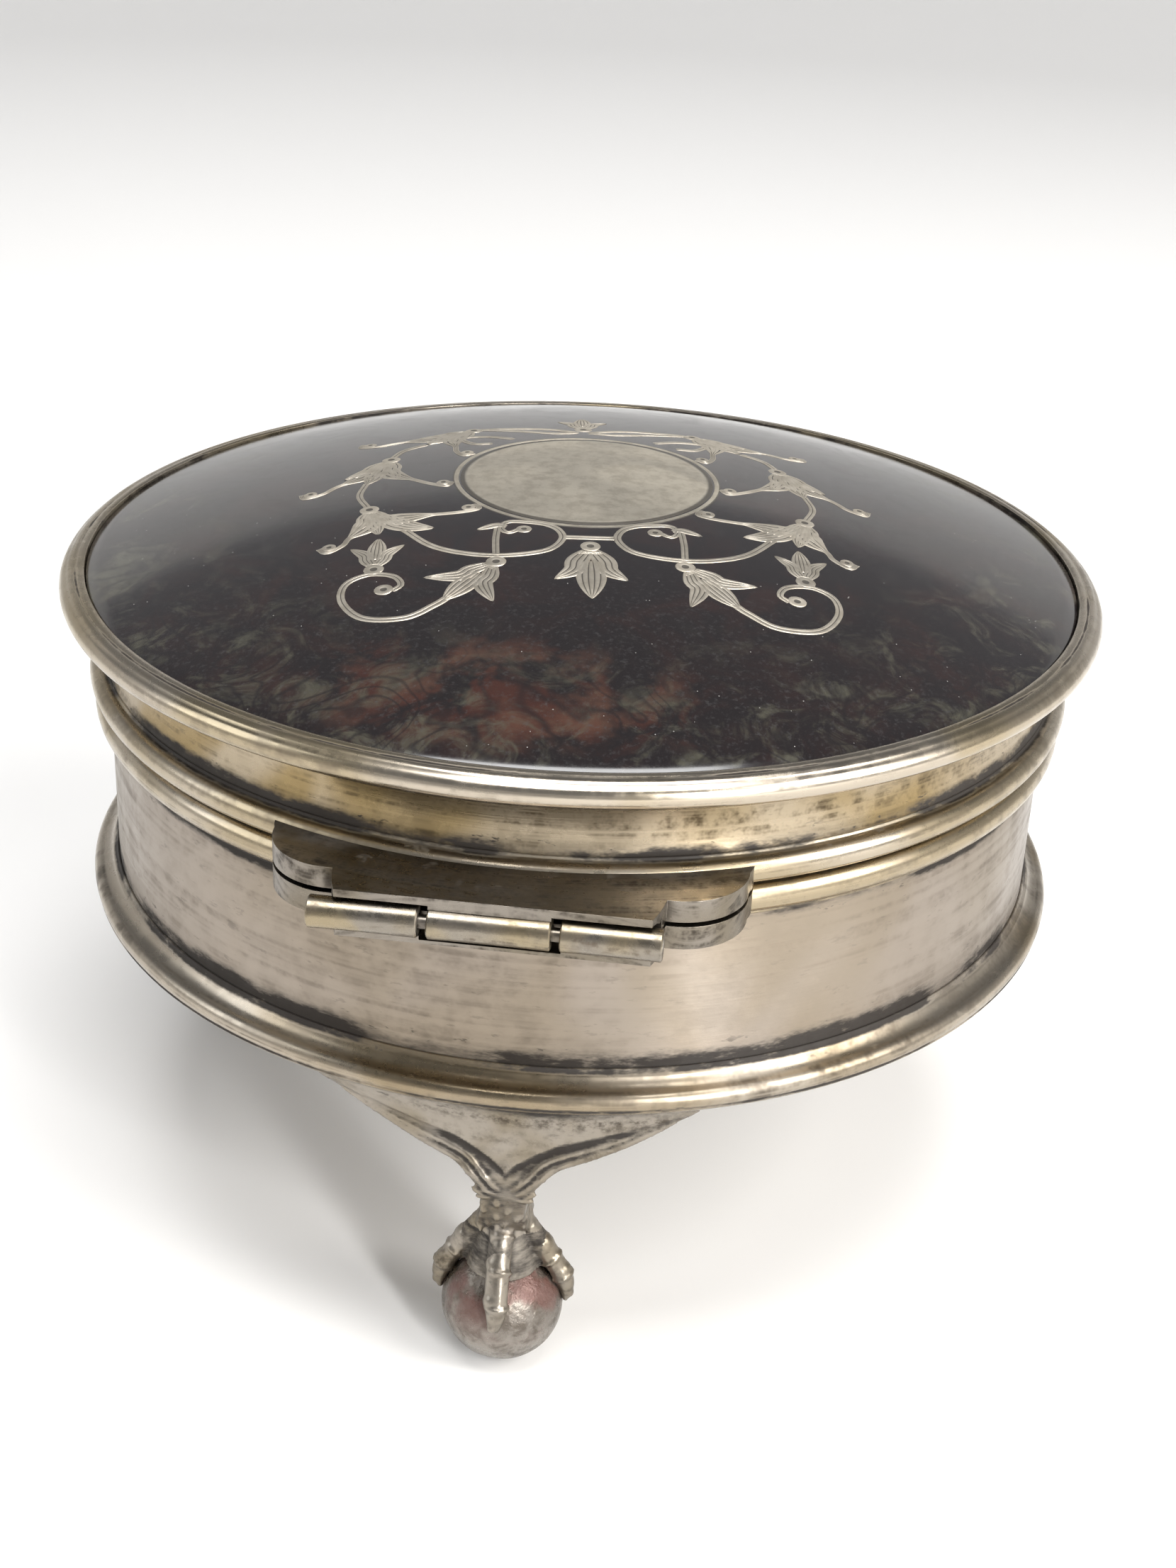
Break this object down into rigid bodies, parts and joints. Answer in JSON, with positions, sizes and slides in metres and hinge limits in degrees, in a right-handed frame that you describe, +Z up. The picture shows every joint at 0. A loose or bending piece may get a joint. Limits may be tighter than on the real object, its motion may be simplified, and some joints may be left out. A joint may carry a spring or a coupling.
{
  "type": "pill box",
  "caption": "Round silver pill or trinket box on claw-and-ball feet, its hinged lid set with a domed tortoiseshell panel inlaid with silver scrolls and bellflowers.",
  "frame": {"origin": "on the axis of the round body, in the plane that the three balls stand on", "axes": "+Z up along the body's axis, +Y towards the hinge, +X to the right seen from the front, the side that opens"},
  "size_m": [0.085, 0.0888, 0.061],
  "materials": {
    "silver": "old sterling silver, brushed by wear, yellowish tarnish and dark creases",
    "hinge_silver": "dark tarnished silver with bright worn edges",
    "cast_silver": "cast and chased silver with dark recesses",
    "inlay_silver": "flush engraved silver inlay, satin",
    "tortoiseshell": "polished dark tortoiseshell with reddish and olive mottling",
    "velvet": "cotton velvet, short pile",
    "silk": "ivory silk, lightly padded",
    "card": "pasteboard"
  },
  "bodies": {
    "base": {"base_plate": "silver", "base_moulding": "silver", "body_band": "silver", "rim_moulding": "silver", "seating_collar": "silver", "body_leaf": "hinge_silver", "body_knuckle_left": "hinge_silver", "body_knuckle_right": "hinge_silver", "hinge_pin": "hinge_silver", "base_board": "card", "wall_lining": "velvet", "base_cushion": "velvet", "leg_rear": "cast_silver", "leg_front_left": "cast_silver", "leg_front_right": "cast_silver", "ball_rear": "cast_silver", "ball_front_left": "cast_silver", "ball_front_right": "cast_silver"},
    "lid": {"lid_wall": "silver", "lid_moulding": "silver", "bezel": "silver", "shell_panel": "tortoiseshell", "cartouche_disc": "inlay_silver", "cartouche_border": "inlay_silver", "inlay_flowers": "inlay_silver", "inlay_scrolls": "inlay_silver", "lid_leaf": "hinge_silver", "lid_knuckle": "hinge_silver", "lid_board": "card", "lid_pad": "silk"}
  },
  "joints": [
    {"name": "lid_hinge", "type": "hinge", "parent": "base", "child": "lid", "pos_m": [0, 0.0452, 0.04439], "axis": [-1, 0, 0], "range_deg": [0, 100]}
  ]
}
